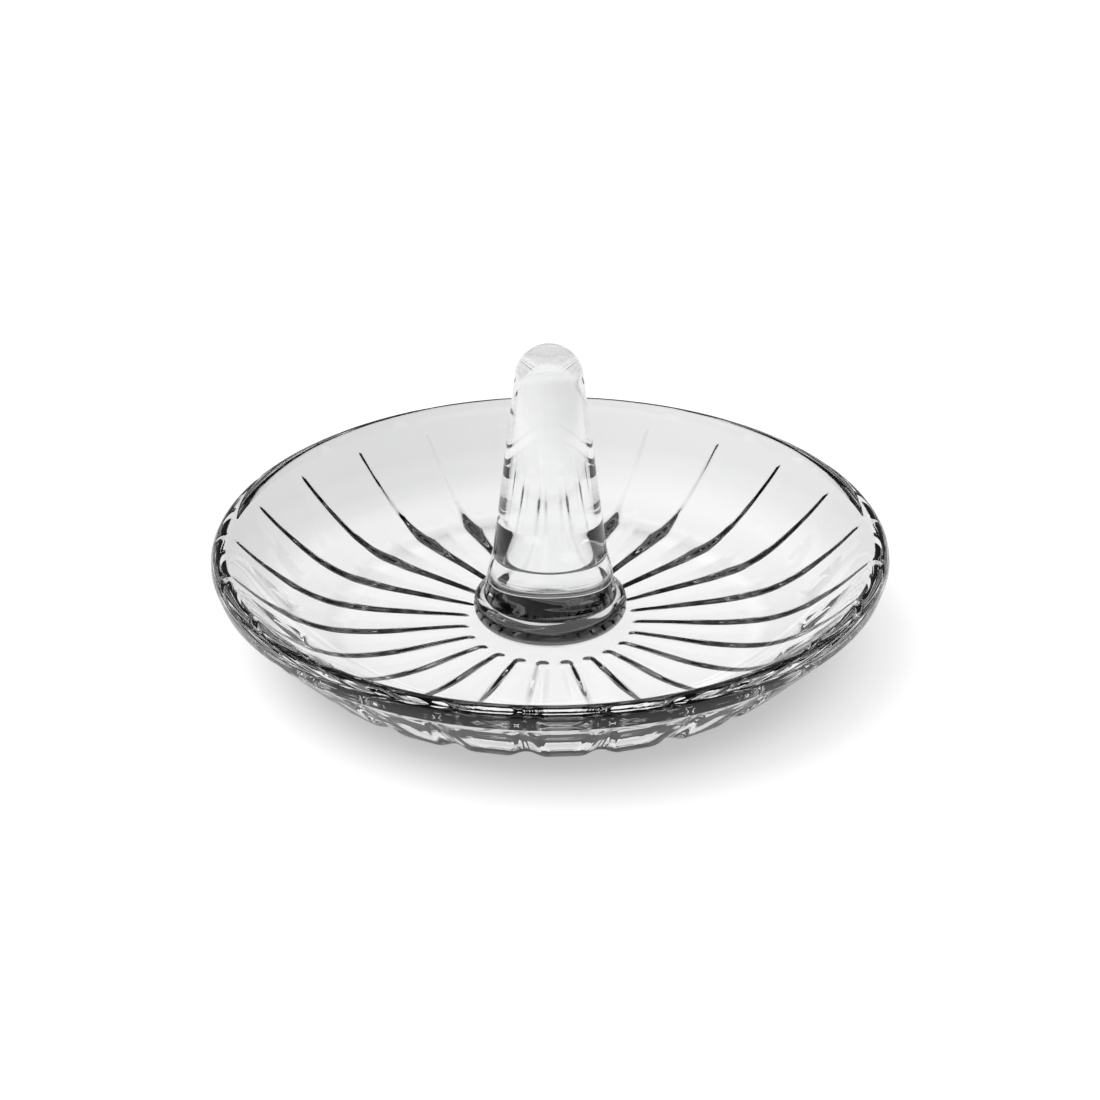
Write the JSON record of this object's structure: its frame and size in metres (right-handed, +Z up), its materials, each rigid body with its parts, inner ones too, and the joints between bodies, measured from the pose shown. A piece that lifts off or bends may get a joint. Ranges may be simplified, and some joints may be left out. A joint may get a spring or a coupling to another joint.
{
  "type": "ring dish",
  "caption": "Round shallow pressed-glass dish with raised radial panels outside and a solid tapered glass post for rings in its middle.",
  "frame": {"origin": "centre of the flat base, on the plane that the dish stands on", "axes": "+Z up along the axis of the dish and the post; a raised panel is centred on -Y"},
  "size_m": [0.13, 0.13, 0.0614],
  "materials": {
    "clear_glass": "fire-polished clear pressed glass",
    "clear_adhesive": "clear cured adhesive"
  },
  "bodies": {
    "root": {"dish": "clear_glass", "ring_post": "clear_glass", "bond_film": "clear_adhesive"}
  },
  "joints": []
}
